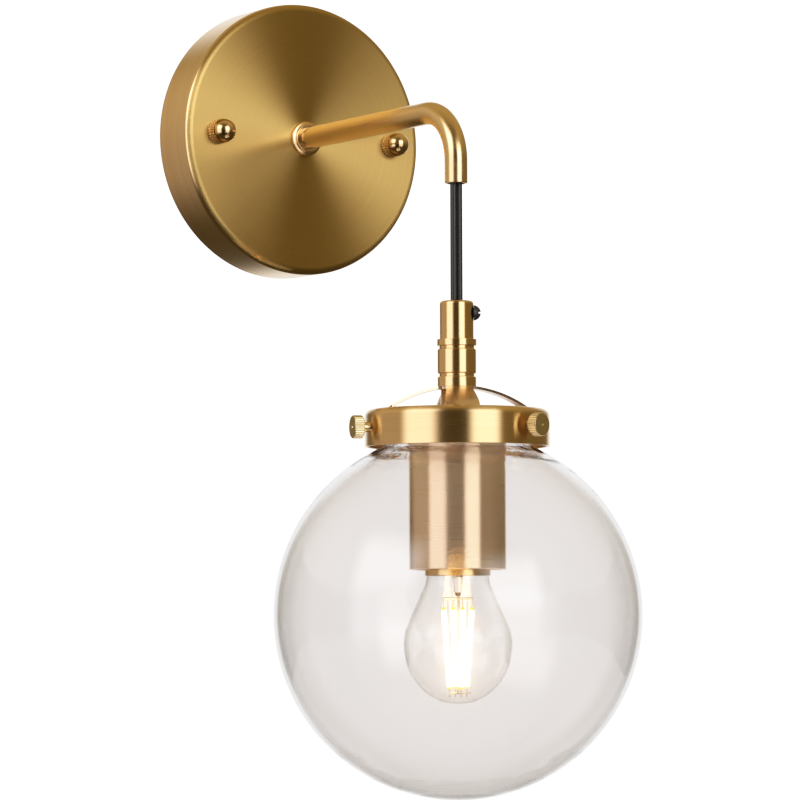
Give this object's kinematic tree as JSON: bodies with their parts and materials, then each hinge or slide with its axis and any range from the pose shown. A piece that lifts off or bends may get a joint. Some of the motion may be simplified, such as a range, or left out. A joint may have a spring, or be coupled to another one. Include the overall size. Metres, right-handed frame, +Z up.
{
  "type": "wall sconce",
  "caption": "Wall light with a round brass canopy, a bent tube arm and a clear glass globe hanging from a short cord under a screw-held brass gallery ring.",
  "frame": {"origin": "centre of the canopy's back rim, on the wall plane", "axes": "+Z up, +Y into the wall, so the room lies towards -Y; +X to the right for someone who faces the light"},
  "size_m": [0.1504, 0.2172, 0.3431],
  "materials": {
    "canopy_brass": "concentric brushed, lacquered",
    "nut_brass": "polished",
    "arm_brass": "satin",
    "turned_brass": "satin turned",
    "ring_brass": "satin",
    "thumbscrew_brass": "turned, knurled rim",
    "inner_brass": "bare, machined",
    "zinc_steel": "zinc plated",
    "green_screw": "green passivated",
    "cord_black": "satin",
    "nylon_black": "satin",
    "terminal_white": "matte",
    "porcelain": "glazed",
    "globe_glass": "clear blown",
    "bulb_clear": "clear blown",
    "cap_metal": "bright",
    "black_glass": "gloss",
    "filament_yellow": "phosphor coat, lit",
    "wire_metal": "bare wire"
  },
  "bodies": {
    "wall_side": {"canopy": "canopy_brass", "crossbar": "zinc_steel", "canopy_studs": "zinc_steel", "stud_nuts": "zinc_steel", "ground_screw": "green_screw", "arm_tube": "arm_brass", "arm_collar": "turned_brass", "arm_washer": "inner_brass", "arm_lock_nut": "inner_brass", "cord_in_arm": "cord_black", "cord_retainer": "nylon_black", "terminal_block": "terminal_white", "terminal_screws": "zinc_steel"},
    "cord": {"cord_drop": "cord_black"},
    "head": {"cord_in_head": "cord_black", "cord_grip": "turned_brass", "grip_screw": "nylon_black", "threaded_nipple": "inner_brass", "coupling_sleeve": "turned_brass", "clamp_ring": "turned_brass", "spider": "ring_brass", "gallery_ring": "ring_brass", "screw_bosses": "inner_brass", "neck_sleeve": "turned_brass", "holder_cup": "ring_brass", "cup_washer": "inner_brass", "cup_lock_nut": "inner_brass", "lamp_socket": "porcelain", "screw_shell": "inner_brass", "socket_contact": "inner_brass", "socket_terminals": "inner_brass", "glass_globe": "globe_glass"},
    "bulb": {"bulb_glass": "bulb_clear", "bulb_cap": "cap_metal", "bulb_insulator": "black_glass", "bulb_contact": "cap_metal", "bulb_stem": "bulb_clear", "filaments": "filament_yellow", "filament_frame": "wire_metal"},
    "thumbscrew_a": {"thumbscrew_a": "thumbscrew_brass"},
    "thumbscrew_b": {"thumbscrew_b": "thumbscrew_brass"},
    "thumbscrew_c": {"thumbscrew_c": "thumbscrew_brass"},
    "cap_nut_left": {"cap_nut_left": "nut_brass"},
    "cap_nut_right": {"cap_nut_right": "nut_brass"}
  },
  "joints": [
    {"name": "side_swing", "type": "hinge", "parent": "wall_side", "child": "cord", "pos_m": [0, -0.142, -0.0315], "axis": [0, 1, 0], "range_deg": [-20, 20]},
    {"name": "front_swing", "type": "hinge", "parent": "cord", "child": "head", "pos_m": [0, -0.142, -0.0799], "axis": [1, 0, 0], "range_deg": [-20, 20]},
    {"name": "bulb_turn", "type": "hinge", "parent": "head", "child": "bulb", "pos_m": [0, -0.142, -0.17], "axis": [0, 0, -1], "range_deg": [0, 1080]},
    {"name": "thumbscrew_a_out", "type": "slide", "parent": "head", "child": "thumbscrew_a", "axis": [0.2672, -0.9636, 0], "range_m": [0, 0.005]},
    {"name": "thumbscrew_b_out", "type": "slide", "parent": "head", "child": "thumbscrew_b", "axis": [0.7009, 0.7133, 0], "range_m": [0, 0.005]},
    {"name": "thumbscrew_c_out", "type": "slide", "parent": "head", "child": "thumbscrew_c", "axis": [-0.9681, 0.2504, 0], "range_m": [0, 0.005]},
    {"name": "cap_nut_left_off", "type": "slide", "parent": "wall_side", "child": "cap_nut_left", "axis": [0, -1, 0], "range_m": [0, 0.006]},
    {"name": "cap_nut_right_off", "type": "slide", "parent": "wall_side", "child": "cap_nut_right", "axis": [0, -1, 0], "range_m": [0, 0.006]}
  ]
}
